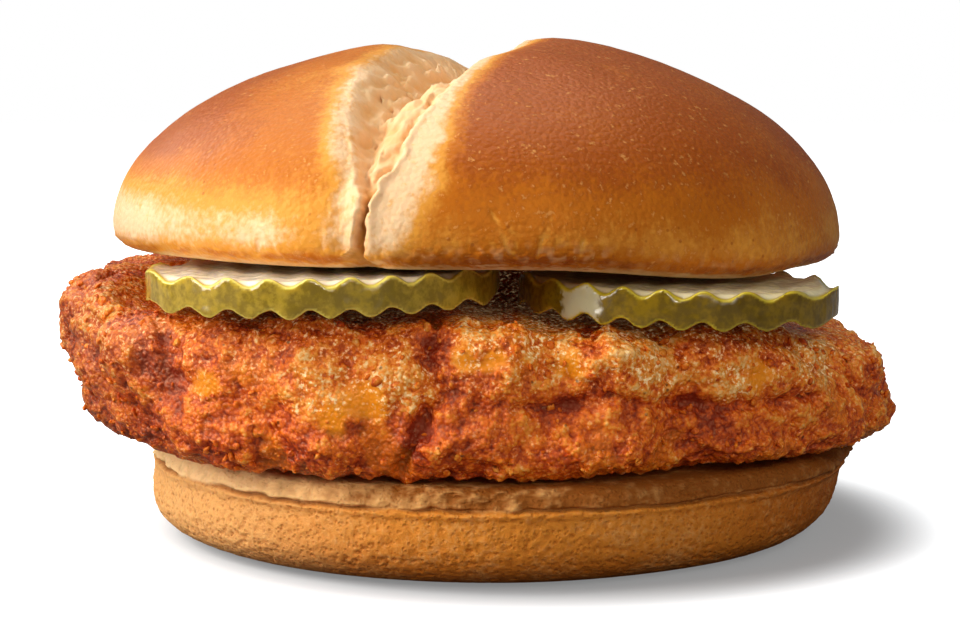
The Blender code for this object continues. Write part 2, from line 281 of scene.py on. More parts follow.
def makePatches():
    # broad and fine colour variation, both round 0.5, and sparse dark specks
    tree, given, wanted = newGroup(
        "patches", {"Broad Size": 9.0, "Fine Size": 1.2, "Speck Size": 1.4}, ("Broad", "Fine", "Specks"))
    place = addNode(tree, "ShaderNodeTexCoord").outputs["Object"]
    broad = addNode(tree, "ShaderNodeTexNoise", Detail=3.0, Roughness=0.55)
    fine = addNode(tree, "ShaderNodeTexNoise", Detail=4.0, Roughness=0.6)
    speck = addNode(tree, "ShaderNodeTexVoronoi", Randomness=1.0)
    for texture, size in ((broad, "Broad Size"), (fine, "Fine Size"), (speck, "Speck Size")):
        tree.links.new(place, texture.inputs["Vector"])
        tree.links.new(scaleFor(tree, given.outputs[size]), texture.inputs["Scale"])
    tree.links.new(broad.outputs["Fac"], wanted.inputs["Broad"])
    tree.links.new(fine.outputs["Fac"], wanted.inputs["Fine"])
    chosen = addNode(tree, "ShaderNodeSeparateColor")
    tree.links.new(speck.outputs["Color"], chosen.inputs[0])
    # about one cell in four holds a speck
    rare = rangeOf(tree, chosen.outputs[0], 0.72, 0.80)
    dot = rangeOf(tree, speck.outputs["Distance"], 0.22, 0.10)
    tree.links.new(mathOf(tree, "MULTIPLY", rare, dot), wanted.inputs["Specks"])
    return tree


def makeGrain():
    # height for bumps: rounded grains mixed with finer roughness, and round pits
    tree, given, wanted = newGroup(
        "grain", {"Size": 0.8, "Fineness": 0.35, "Grit": 0.4}, ("Height", "Pits"))
    place = addNode(tree, "ShaderNodeTexCoord").outputs["Object"]
    grain = addNode(tree, "ShaderNodeTexVoronoi", Randomness=1.0)
    grit = addNode(tree, "ShaderNodeTexNoise", Detail=5.0, Roughness=0.65)
    for texture, size in ((grain, "Size"), (grit, "Fineness")):
        tree.links.new(place, texture.inputs["Vector"])
        tree.links.new(scaleFor(tree, given.outputs[size]), texture.inputs["Scale"])
    tree.links.new(rangeOf(tree, grain.outputs["Distance"], 0.46, 0.10), wanted.inputs["Pits"])
    domes = mathOf(tree, "SUBTRACT", 1.0, grain.outputs["Distance"])
    gritty = mathOf(tree, "MULTIPLY", grit.outputs["Fac"], given.outputs["Grit"])
    tree.links.new(mathOf(tree, "ADD", domes, gritty), wanted.inputs["Height"])
    return tree


patches = makePatches()
grain = makeGrain()


def linkBump(tree, shader, height, strength, depth):
    # depth in mm
    bump = addNode(tree, "ShaderNodeBump", Strength=strength, Distance=depth * mm)
    tree.links.new(height, bump.inputs["Height"])
    tree.links.new(bump.outputs["Normal"], shader.inputs["Normal"])


def setLook(shader, values):
    for name, value in values.items():
        shader.inputs[name].default_value = value


def linkLook(tree, shader, values):
    for name, value in values.items():
        tree.links.new(value, shader.inputs[name])


# Top bun

topBun = {
    "centre": (-3.0, 0.0, 36.0),  # what the crust swells away from, mm
    "underRim": 41.0,  # a height just below the rim, mm
    "splitMiddle": (-3.7, 0.0),
    "splitTurn": 15.8,  # degrees the split turns from front to back
    "splitWander": ((1.3, 8.5), (0.7, 3.7)),  # sizes and lengths of its waves behind, mm
    "splitReach": 9.5,  # half width of the finer mesh along it, mm
    # the torn crumb's edges across the split at each height, mm
    "tornHeights": (43, 44.2, 45.3, 47.8, 49.3, 50.6, 52.3, 54, 55.9, 57.7, 60.6, 64, 68),
    "tornLeft": (-3.2, -2.4, -0.5, 0.3, 0.4, 0.4, 0.0, -0.8, -1.7, -2.6, -4.2, -6.0, -8.0),
    "tornRight": (1.0, 1.0, 1.1, 1.2, 1.4, 1.5, 1.9, 2.6, 3.9, 4.6, 4.4, 6.4, 7.0),
    # the solid's groove across the split, low down in front: its middle, width and depth, mm
    "groove": (0.6, 2.15, 2.9),
    # how sharp the torn lips are at each height
    "lipHeights": (43, 47, 50, 57, 60, 63, 70),
    "lipLeft": (1.0, 1.0, 1.0, 1.0, 0.9, 0.4, 0.2),
    "lipRight": (0.9, 0.9, 1.0, 1.0, 0.9, 0.5, 0.4),
    "lipOutside": 0.45,  # how far outside the torn edge a lip stands, mm
    "lipWidth": 0.42,
    # where the pale skin beside the split ends at each height, mm
    "paleHeights": (44, 46, 48, 51, 54, 58, 63, 68),
    "paleRight": (5.5, 6.2, 7.3, 8.9, 10.4, 10.4, 10.4, 10.0),
    "paleLeft": (-5.2, -5.0, -4.8, -4.9, -5.4, -7.4, -9.4, -11.0),
    "wallDrop": 1.4,  # how far the torn crumb and the slit lie below the skin, mm
    "slitDrop": 1.5,
    "foldRelief": 1.0,
    "wrinkleDepth": 0.34,
    "rimHang": 0.9,  # how much lower the rim hangs over the right slice, mm
    # cracks above the front rim, as x and height places, mm
    "cracks": (
        ((-0.8, 50.4), (0.6, 48.0), (1.3, 46.0), (3.0, 43.6), (3.4, 42.0)),
        ((7.0, 50.6), (6.6, 48.2), (5.4, 46.2), (5.0, 44.0), (5.4, 42.0)),
        ((11.0, 46.4), (10.3, 44.4), (10.6, 42.0)),
        ((-31.0, 46.5), (-31.6, 44.0), (-31.2, 42.0)),
    ),
    "crackWidth": 0.26,
    "crackedPart": (5.0, 9.0, -40.0, 52.0),  # its middle x, half width, back and top, mm
    "patchSizes": {"Broad Size": 8.0, "Fine Size": 1.0, "Speck Size": 1.5},
    "grainSizes": {"Size": 0.75, "Fineness": 0.5, "Grit": 0.9},
    "bump": (0.6, 0.14),  # strength, and depth in mm
    "skinRoughness": (0.33, 0.46),
    "crumbRougher": 0.36,
    "surface": {
        "Subsurface Weight": 0.12, "Subsurface Scale": 0.0025, "Subsurface Radius": (1.0, 0.45, 0.2),
        "Specular Tint": (1.0, 0.44, 0.10, 1.0)},
    "paleSkin": (0.88, 0.60, 0.34),
    "goldCrust": (0.72, 0.30, 0.040),
    "brownCrust": (0.50, 0.135, 0.008),
    "darkCrust": (0.34, 0.070, 0.006),
    "fleck": (0.84, 0.43, 0.12),
    "crumb": (0.84, 0.57, 0.32),
    "crumbShade": (0.70, 0.36, 0.11),
    "gapShade": (0.58, 0.26, 0.06),
}


def splitPlace(points):
    # how far along and across the split each point lies, mm
    turn = math.radians(topBun["splitTurn"])
    aside = points[:, :2] - np.array(topBun["splitMiddle"])
    along = -aside[:, 0] * math.sin(turn) - aside[:, 1] * math.cos(turn)
    across = aside[:, 0] * math.cos(turn) - aside[:, 1] * math.sin(turn)
    behind = ease(-along, 2.0, 12.0)
    for size, length in topBun["splitWander"]:
        across -= behind * size * np.sin(along / length)
    return along, across


def tornSides(points):
    # distances inside the torn crumb's left and right edges, mm, negative outside
    along, across = splitPlace(points)
    heights = points[:, 2]
    left = np.interp(heights, topBun["tornHeights"], topBun["tornLeft"])
    right = np.interp(heights, topBun["tornHeights"], topBun["tornRight"])
    spine = np.stack([np.zeros(len(points)), along * 0.5, heights], axis=1)
    # low down, both edges wander together, so the slit stays narrow
    jagged = 0.55 * softNoise(spine, 1.7, 45.0) + 0.30 * softNoise(spine, 0.7, 46.0)
    jagged = ease(heights, 54, 50) * jagged
    ragged = 0.75 + 0.25 * ease(heights, 49, 54)
    left += jagged + ragged * (0.9 * softNoise(spine, 2.6, 3.3) + 0.5 * softNoise(spine, 0.9, 8.1))
    right += jagged + ragged * (0.6 * softNoise(spine, 2.3, 17.2) + 0.4 * softNoise(spine, 0.8, 29.7))
    return across - left, right - across


def nearSplit(points):
    _, across = splitPlace(points)
    return (np.abs(across) < topBun["splitReach"]) & (points[:, 2] > topBun["underRim"])


def lowRim(points):
    return (points[:, 2] < 47.0) & (points[:, 2] > 39.5) & ~nearSplit(points)


def crackedRim(points):
    middle, half, back, top = topBun["crackedPart"]
    inFront = (np.abs(points[:, 0] - middle) < half) & (points[:, 1] < back)
    return inFront & (points[:, 2] < top) & (points[:, 2] > topBun["underRim"])


def crustMaterial():
    material, tree, shader = newMaterial("glazed crust")
    look = useGroup(tree, patches, topBun["patchSizes"])
    baked = mathOf(tree, "MULTIPLY_ADD", look["Broad"], 0.22, maskOf(tree, "baked"))
    baked = mathOf(tree, "MULTIPLY_ADD", look["Fine"], 0.50, baked)
    baked = mathOf(tree, "SUBTRACT", baked, 0.35, clamp=True)
    skin = rampOf(tree, baked, (
        (0.0, topBun["paleSkin"]), (0.36, topBun["goldCrust"]),
        (0.70, topBun["brownCrust"]), (1.0, topBun["darkCrust"])))
    specks = mathOf(tree, "MULTIPLY", look["Specks"], rangeOf(tree, baked, 0.2, 0.6, 0.0, 0.7))
    skin = mixOf(tree, specks, skin, topBun["darkCrust"])
    skin = mixOf(tree, rangeOf(tree, look["Fine"], 0.59, 0.70, 0.0, 0.42), skin, topBun["fleck"])
    # painted shade: the crumb darkens in its hollows and in the slit
    crumb = mixOf(tree, maskOf(tree, "hollow"), topBun["crumb"], topBun["crumbShade"])
    shaded = rangeOf(tree, look["Broad"], 0.5, 0.7, 0.0, 0.35)
    crumb = mixOf(tree, shaded, crumb, topBun["crumbShade"])
    crumb = mixOf(tree, maskOf(tree, "gap"), crumb, topBun["gapShade"])
    bare = mathOf(tree, "MAXIMUM", maskOf(tree, "torn"), maskOf(tree, "cutFace"))
    glossy = rangeOf(tree, look["Fine"], 0.3, 0.7, *topBun["skinRoughness"])
    rough = mathOf(tree, "MULTIPLY_ADD", bare, topBun["crumbRougher"], glossy)
    linkLook(tree, shader, {"Base Color": mixOf(tree, bare, skin, crumb), "Roughness": rough})
    height = useGroup(tree, grain, topBun["grainSizes"])["Height"]
    linkBump(tree, shader, height, *topBun["bump"])
    setLook(shader, topBun["surface"])
    return material


def makeTopBun():
    piece = copyOfNode("top_bun", "topBunBaked")
    smoothLevels(piece, 2)
    for chooser in (nearSplit, lowRim, crackedRim):
        subdivideWhere(piece, chooser, 1)

    points = pointsOf(piece)
    heights = points[:, 2]
    facing = normalsOf(piece)
    outward = points - np.array(topBun["centre"])
    outward /= np.linalg.norm(outward, axis=1, keepdims=True)
    underside = ease(-facing[:, 2], 0.55, 0.75)
    rimEdge = bell(facing[:, 2], -0.45, 0.30) * (heights < 50.0)
    along, across = splitPlace(points)
    left, right = tornSides(points)
    sharpLeft = np.interp(heights, topBun["lipHeights"], topBun["lipLeft"])
    sharpRight = np.interp(heights, topBun["lipHeights"], topBun["lipRight"])
    upper = ease(heights, 41.5, 43.5) * (1.0 - underside)

    # the torn crumb lies below the skin, steep at its sharp lips and gentle elsewhere
    wallLeft = ease(left, -0.15, 0.35 + 3.2 * (1.0 - sharpLeft))
    wallRight = ease(right, -0.15, 0.35 + 2.6 * (1.0 - sharpRight))
    wall = wallLeft * wallRight * upper
    torn = ease(left, -0.3, 0.3 + 1.5 * (1.0 - sharpLeft))
    torn = torn * ease(right, -0.3, 0.3 + 1.2 * (1.0 - sharpRight)) * upper
    # the slit is where the crumb narrows, and all of it just above the rim
    narrow = ease(left + right, 3.2, 1.9) * ease(heights, 54, 51.5)
    slit = np.maximum(narrow, ease(heights, 46.4, 44.8))
    drop = wall * (topBun["wallDrop"] + slit * (topBun["slitDrop"] - topBun["wallDrop"]))
    foot = sharpLeft * bell(left, 0.8, 0.6) + sharpRight * bell(right, 0.8, 0.6)
    drop += wall * (1.0 - slit) * 0.7 * foot
    outside, width = topBun["lipOutside"], topBun["lipWidth"]
    lips = sharpLeft * bell(left, -outside, width) * (across < 1.5)
    lips += sharpRight * bell(right, -outside, width) * (across > -1.5)
    lips *= upper * (0.24 + 0.5 * np.clip(softNoise(points, 2.4, 61.0), 0.0, 1.0))

    # soft folds slanting up to the right, with thin membranes and a few holes
    slant = np.stack([(across + heights) / 7.5, (across - heights) / 4.0, along / 6.0], axis=1)
    slant += 0.34 * noiseVector(points, 3.2, (5.0, 6.0, 9.0))
    pillows = 2.1 * np.abs(softNoise(slant, 1.0, 4.4)) - 0.42
    rolling = softNoise(slant, 0.55, 14.4)
    membranes = bell(softNoise(slant, 0.85, 24.4), 0.0, 0.06)
    membranes *= ease(softNoise(points, 3.6, 5.0), 0.0, 0.25)
    holes = ease(softNoise(points, 1.8, 7.7), -0.42, -0.60)
    folds = 0.7 * pillows + 0.75 * rolling + 0.45 * softNoise(points, 2.1, 33.0) + 0.25 * membranes
    folds += 0.15 * roughNoise(points, 1.1, 1.9, 3) - 0.6 * holes
    leftward = ease(right - left, -2.0, 3.0)
    crumbs = wall * (1.0 - 0.7 * slit) * topBun["foldRelief"] * (1.05 + 0.45 * leftward) * folds

    # low down in front, the solid's groove is filled, so the skin keeps its height up to the slit
    grooveMiddle, grooveWidth, grooveDepth = topBun["groove"]
    bulge = grooveDepth * bell(across, grooveMiddle, grooveWidth)
    bulge *= ease(heights, 61.5, 53.0) * upper * (along > 0)

    # fine upright wrinkles above the lower rim, and the cracks in front
    around = np.arctan2(outward[:, 1], outward[:, 0])
    band = np.stack([around * 54.0, np.zeros(len(points)), heights * 0.22], axis=1)
    patchy = ease(softNoise(points, 12.0, 2.2), -0.1, 0.25)
    low = ease(heights, 54.0, 47.0) * ease(heights, 42.8, 44.4) * (1.0 - underside) * patchy
    wrinkles = 0.25 * bell(softNoise(band, 3.4, 5.5), 0.0, 0.045) * low * (1.0 - wall)
    cracks = np.zeros(len(points))
    shaken = points + 0.30 * noiseVector(points, 1.4, (4.0, 5.0, 6.0))
    for path in topBun["cracks"]:
        cracks = np.maximum(cracks, bell(distanceToPath(shaken, path), 0.0, topBun["crackWidth"]))
    cracks *= (along > 25.0) * (1.0 - underside) * (0.55 + 0.45 * softNoise(points, 1.2, 2.0))
    wrinkles = np.maximum(wrinkles, 1.3 * cracks)

    # a gentle unevenness all over, and rougher skin beside the split and on the rim
    uneven = 0.22 * softNoise(points, 9.0, 12.0) + 0.05 * softNoise(points, 1.6, 3.0)
    moved = lips + crumbs - drop + bulge
    moved += (1.0 - wall) * (uneven * (1.0 - underside) - topBun["wrinkleDepth"] * wrinkles)
    stretched = bell(across, -2.5, 3.5) * ease(heights, 62.0, 54.0) * (1.0 - wall) * upper
    moved += 0.16 * stretched * roughNoise(points, 1.5, 66.0)
    moved += (underside * 0.25 + rimEdge * 0.30) * roughNoise(points, 1.2, 6.0)
    shifted = points + outward * moved[:, None]
    hang = bell(points[:, 0], 30.0, 17.0) * ease(-points[:, 1], 22.0, 34.0) * ease(heights, 47.0, 42.5)
    shifted[:, 2] -= topBun["rimHang"] * hang
    setPoints(piece, shifted)

    # how browned the skin is: away from the split, less so low down and at the front left, where the
    # paleness is partly pale skin and partly painted sheen
    paleRight = np.interp(heights, topBun["paleHeights"], topBun["paleRight"])
    paleLeft = np.interp(heights, topBun["paleHeights"], topBun["paleLeft"])
    warp = 1.1 * softNoise(points, 6.0, 31.0) + 0.6 * softNoise(points, 1.6, 41.0)
    rightBaked = ease(across + warp, paleRight - 3.2, paleRight + 3.0)
    leftBaked = 0.62 * ease(-across + warp, -paleLeft - 4.2, -paleLeft + 1.6)
    leftBaked += 0.38 * ease(-across + warp, -paleLeft + 1.0, -paleLeft + 20.0)
    browner = ease(heights, 42.0, 59.0)
    baked = np.maximum(rightBaked * (0.42 + 0.58 * browner), leftBaked * (0.70 + 0.30 * browner))
    # paler low down at the front left: partly pale skin, partly painted sheen
    baked *= 1.0 - 0.85 * ease(-points[:, 0], 20.0, 42.0) * ease(heights, 60.0, 47.0)
    baked *= 1.0 - 0.60 * ease(-points[:, 0], 16.0, 34.0) * ease(heights, 53.0, 47.0)
    baked += 0.16 * softNoise(points, 14.0, 51.0) + 0.08 * softNoise(points, 4.0, 57.0)
    # browner along the rim's lower edge, most where it faces down
    toastedEdge = bell(facing[:, 2], -0.72, 0.20) * (heights < 48.0)
    mottled = 0.8 + 0.5 * softNoise(points, 2.2, 71.0)
    baked += 0.22 * rimEdge - 0.38 * wrinkles + 0.45 * toastedEdge * mottled
    storeMask(piece, "baked", np.clip(baked, 0.0, 1.0))

    # where the crumb shows, painted shade in its hollows and in the slit, and the cut face below with its
    # flaky edge
    storeMask(piece, "torn", torn)
    storeMask(piece, "hollow", np.clip(0.36 - 0.50 * folds, 0.0, 0.95))
    storeMask(piece, "gap", slit * wall)
    flaky = ease(softNoise(points, 1.1, 91.0), 0.0, 0.3) * rimEdge
    cut = ease(-normalsOf(piece)[:, 2], 0.80, 0.95) * (heights < 48.0)
    flakiest = bell(points[:, 0], 7.0, 10.0) * (along > 25.0)
    storeMask(piece, "cutFace", np.clip(cut + (0.15 + 0.2 * flakiest) * flaky, 0.0, 1.0))
    shadeSmooth(piece)
    piece.data.materials.append(crustMaterial())
    standIn(piece, "top_bun")


makeTopBun()
print("top bun dressed")


# Bottom bun

bottomBun = {
    "fineReach": 44.8,  # the side's finer mesh starts this far from the middle, mm
    "peelHeight": 11.3,  # where the crust ends and the torn crumb band begins, mm
    "poreSize": 1.0,
    "poreDepth": 0.40,
    "fluffRelief": 0.55,
    "solidGroove": (10.9, 0.75, 0.85),  # height, width and depth of the solid's cut groove, mm
    "bandInset": 0.55,
    "patchSizes": {"Broad Size": 7.0, "Fine Size": 0.75, "Speck Size": 1.2},
    "grainSizes": {"Size": 0.72, "Fineness": 0.5, "Grit": 0.6},
    "bump": (0.8, 0.17),  # strength, and depth in mm
    "roughness": (0.55, 0.72),
    "surface": {
        "Subsurface Weight": 0.15, "Subsurface Scale": 0.0025, "Subsurface Radius": (1.0, 0.45, 0.2),
        "Specular Tint": (1.0, 0.5, 0.2, 1.0)},
    "side": (0.68, 0.235, 0.026),
    "sideLowAndShade": (0.47, 0.120, 0.009),
    # the painted shade in the pores
    "pit": (0.36, 0.080, 0.006),
    "pale": (0.84, 0.46, 0.17),
    "band": (0.82, 0.43, 0.14),
    "bandShade": (0.27, 0.078, 0.010),
    "bandPaintedLightLeft": (1.0, 0.64, 0.30),
    "peelEdge": (0.20, 0.05, 0.006),
}


def sideFaces(points):
    # the side and its rounded lower edge
    reach = np.hypot(points[:, 0], points[:, 1])
    outer = (reach > bottomBun["fineReach"]) & (points[:, 2] > 0.55)
    return outer & ((reach > 47.0) | (points[:, 2] < 13.0))


def bunSideMaterial():
    material, tree, shader = newMaterial("soft bun side")
    look = useGroup(tree, patches, bottomBun["patchSizes"])
    relief = useGroup(tree, grain, bottomBun["grainSizes"])
    tone = mathOf(tree, "MULTIPLY_ADD", look["Broad"], 0.5, partOf(tree, look["Fine"], 0.7))
    # darker towards the bottom, and painted shade to the right
    side = mixOf(tree, maskOf(tree, "low"), bottomBun["side"], bottomBun["sideLowAndShade"])
    side = mixOf(tree, rangeOf(tree, tone, 0.56, 0.80, 0.0, 0.35), side, bottomBun["pale"])
    # painted light: the side is paler to the front left
    side = mixOf(tree, partOf(tree, maskOf(tree, "leftPale"), 0.75), side, bottomBun["pale"])
    # pores in the mesh with painted shade in them, then finer ones as painted shade and as bump alone
    side = mixOf(tree, partOf(tree, maskOf(tree, "pitted"), 0.62), side, bottomBun["pit"])
    side = mixOf(tree, rangeOf(tree, look["Fine"], 0.47, 0.33, 0.0, 0.25), side, bottomBun["pit"])
    side = mixOf(tree, partOf(tree, relief["Pits"], 0.32), side, bottomBun["pit"])
    # painted light: the band is paler to the front left
    band = mixOf(tree, maskOf(tree, "leftPale"), bottomBun["band"], bottomBun["bandPaintedLightLeft"])
    # painted shade: the band darkens in its hollows, below the fillet and to the front right
    band = mixOf(tree, maskOf(tree, "shade"), band, bottomBun["bandShade"])
    colour = mixOf(tree, maskOf(tree, "band"), side, band)
    colour = mixOf(tree, partOf(tree, maskOf(tree, "peelLine"), 0.8), colour, bottomBun["peelEdge"])
    rough = rangeOf(tree, look["Fine"], 0.3, 0.7, *bottomBun["roughness"])
    linkLook(tree, shader, {"Base Color": colour, "Roughness": rough})
    height = mathOf(tree, "MULTIPLY_ADD", relief["Pits"], -0.8, partOf(tree, look["Fine"], 1.5))
    linkBump(tree, shader, height, *bottomBun["bump"])
    setLook(shader, bottomBun["surface"])
    return material


def makeBottomBun():
    piece = copyOfNode("bottom_bun", "bottomBunBaked")
    smoothLevels(piece, 2)
    subdivideWhere(piece, sideFaces, 2)
    points = pointsOf(piece)
    heights = points[:, 2]
    reach = np.hypot(points[:, 0], points[:, 1])
    outward = points * np.array((1.0, 1.0, 0.0)) / np.maximum(reach, 1.0)[:, None]
    around = np.arctan2(points[:, 1], points[:, 0])
    ring = np.stack([np.cos(around), np.sin(around), np.zeros(len(points))], axis=1)
    peel = bottomBun["peelHeight"] + 0.5 * softNoise(ring, 0.30, 3.0) + 0.3 * softNoise(ring, 0.06, 9.0)
    onSide = ease(reach, 43.5, 47.0)
    crumbBand = ease(heights, peel - 0.2, peel + 0.2) * onSide
    crust = (1.0 - crumbBand) * onSide * ease(heights, 0.2, 1.2)

    # open pores in the crust, deeper low down
    pit = 1.0 - ease(cellDistance(points, bottomBun["poreSize"], 2.7), 0.12, 0.52)
    strong = (0.45 + 0.55 * ease(heights, 10.5, 4.0)) * (0.7 + 0.6 * softNoise(points, 7.0, 5.0))
    dimples = 0.35 * roughNoise(points, 1.7, 7.0)
    moved = crust * bottomBun["poreDepth"] * (dimples - pit * strong)

    # fluffy torn crumb above the peel line, most of all at the torn place in front
    fluffy = ease(softNoise(ring, 0.22, 31.0), -0.2, 0.2)
    flattened = points * np.array((1.0, 1.0, 2.2))
    tufts = 0.6 * roughNoise(points, 1.8, 5.0, 4) + 0.4 * softNoise(flattened, 5.0, 15.0)
    tornHere = bell(points[:, 0], -3.0, 11.0) * (points[:, 1] < 0.0)
    moved += crumbBand * bottomBun["fluffRelief"] * (0.45 + 0.75 * fluffy + 1.3 * tornHere) * tufts
    opened = ease(softNoise(ring, 0.15, 15.0), -0.6, -0.1)
    moved -= bell(heights - peel, 0.0, 0.26) * onSide * (0.14 + 0.50 * opened)
    moved += crumbBand * fluffy * 0.4 * bell(heights - peel, 0.7, 0.6)

    # the solid's groove is filled up to a thin line, and its band is drawn in level with the side
    grooveHeight, grooveWidth, grooveDepth = bottomBun["solidGroove"]
    moved += grooveDepth * bell(heights, grooveHeight, grooveWidth) * onSide
    moved -= bottomBun["bandInset"] * ease(heights, 11.6, 13.2) * onSide
    setPoints(piece, points + outward * moved[:, None])

    # the band and its dark edge, painted shade in the pores, and painted shade in the band's hollows and
    # below the fillet, deeper to the front right
    storeMask(piece, "band", crumbBand)
    edge = bell(heights - peel, -0.05, 0.22) * onSide * (0.25 + 0.75 * opened)
    storeMask(piece, "peelLine", edge)
    storeMask(piece, "pitted", pit * crust * np.clip(strong, 0.0, 1.0))
    behind = ease(points[:, 1], -12.0, 12.0)
    fade = 0.52 * ease(points[:, 0], -28.0, 3.0) + 0.22 * ease(points[:, 0], 5.0, 30.0)
    fade -= 0.34 * ease(-points[:, 0], 14.0, 38.0)
    fade *= 1.0 - 0.85 * behind
    shade = 0.36 + fade - (0.6 + 0.7 * tornHere) * tufts + 0.10 * tornHere
    storeMask(piece, "shade", crumbBand * np.clip(shade, 0.0, 1.0))
    # painted light: paler to the front left
    storeMask(piece, "leftPale", ease(-points[:, 0], 8.0, 48.0) * (points[:, 1] < 20.0))
    # painted shade: the side darkens to the right, less so behind; it is also darker towards the bottom
    rightDark = ease(points[:, 0], 15.0, 48.0) * (1.0 - 0.8 * behind)
    storeMask(piece, "low", np.maximum(ease(heights, 8.5, 0.5), rightDark))
    shadeSmooth(piece)
    piece.data.materials.append(bunSideMaterial())
    standIn(piece, "bottom_bun")


makeBottomBun()
print("bottom bun dressed")


# Fillet

fillet = {
    "middle": -3.3,  # x of its middle, mm
    "halfSize": (61.6, 51.0),  # half its width and depth, mm
    "mediumRelief": 0.62,
    "grainRelief": 0.42,
    "fineRelief": 0.18,
    "frontDepth": -22.0,  # y past which the places named on the front count, mm
    # creases on the front: how deep, how wide, then the x and height of their points, mm
    "creases": (
        (1.5, 0.95, ((-8.2, 35.0), (-8.9, 31.0), (-7.8, 26.5), (-10.4, 21.5), (-13.2, 16.5))),
        (1.3, 0.85, ((3.0, 24.6), (8.5, 24.9), (14.6, 25.6), (24.5, 24.4), (35.3, 23.4), (43.0, 24.2))),
        (0.6, 1.0, ((-45.0, 32.0), (-44.0, 28.5), (-40.5, 25.5))),
        (0.8, 1.0, ((12.5, 34.0), (14.0, 30.0), (13.0, 26.5))),
    ),
    # x, height and radius of places on the front, mm
    "goldPlaces": (
        (-24.0, 28.6, 5.0), (-13.5, 28.8, 5.5), (-3.0, 33.4, 4.0), (6.5, 33.0, 5.0),
        (19.0, 31.0, 5.5), (44.0, 29.5, 4.5), (-57.0, 36.0, 6.0), (31.0, 27.0, 3.5)),
    "amberPlaces": (
        (-17.5, 25.2, 3.4), (-21.5, 23.5, 2.4), (-4.2, 31.3, 2.0), (-0.8, 31.2, 2.0),
        (9.5, 30.5, 2.2), (35.0, 27.5, 2.4), (-39.0, 27.0, 2.2)),
    "redPlaces": (
        (-46.0, 28.5, 3.6), (-9.0, 33.0, 3.0), (-11.0, 21.0, 3.0), (8.0, 24.5, 3.5), (27.0, 23.0, 4.5)),
    "patchSizes": {"Broad Size": 5.0, "Fine Size": 0.85, "Speck Size": 1.5},
    "sparkleSizes": {"Broad Size": 2.6, "Fine Size": 0.55, "Speck Size": 0.8},
    "grainSizes": {"Size": 0.62, "Fineness": 0.4, "Grit": 0.9},
    "bump": (0.9, 0.28),  # strength, and depth in mm
    "roughness": (0.12, 0.28),
    # the emission strength is that of the painted glints' faint glow
    "surface": {
        "Subsurface Weight": 0.15, "Subsurface Scale": 0.0015, "Subsurface Radius": (1.0, 0.35, 0.1),
        "Specular IOR Level": 1.0, "Specular Tint": (1.0, 0.62, 0.34, 1.0), "Emission Strength": 0.26},
    "crust": (
        (0.03, (0.25, 0.014, 0.002)), (0.25, (0.54, 0.058, 0.003)), (0.48, (0.84, 0.155, 0.005)),
        (0.70, (1.0, 0.33, 0.030)), (0.96, (1.0, 0.52, 0.15))),
    "glint": (1.0, 0.73, 0.40),
    "glintGlow": (1.0, 0.68, 0.34),
    "dimmed": (0.62, 0.58, 0.50),  # the painted shade the coating's colour is multiplied by at the far left
    "pepper": (0.09, 0.018, 0.004),
    "amber": (0.98, 0.31, 0.004),
}


def rimFaces(points):
    # the rim and the outer parts of top and underside, outside a rounded rectangle
    x = (points[:, 0] - fillet["middle"]) / fillet["halfSize"][0]
    y = points[:, 1] / fillet["halfSize"][1]
    return (np.abs(x) ** 2.35 + np.abs(y) ** 2.35) ** (1 / 2.35) > 0.845


def spread(points, places, ragged):
    # strength from 0 to 1 of a set of round places on the front, their edges made ragged
    found = np.zeros(len(points))
    for x, height, radius in places:
        away = np.hypot(points[:, 0] - x, points[:, 2] - height) / radius
        found = np.maximum(found, 1.0 - ease(away + ragged, 0.45, 1.15))
    return found


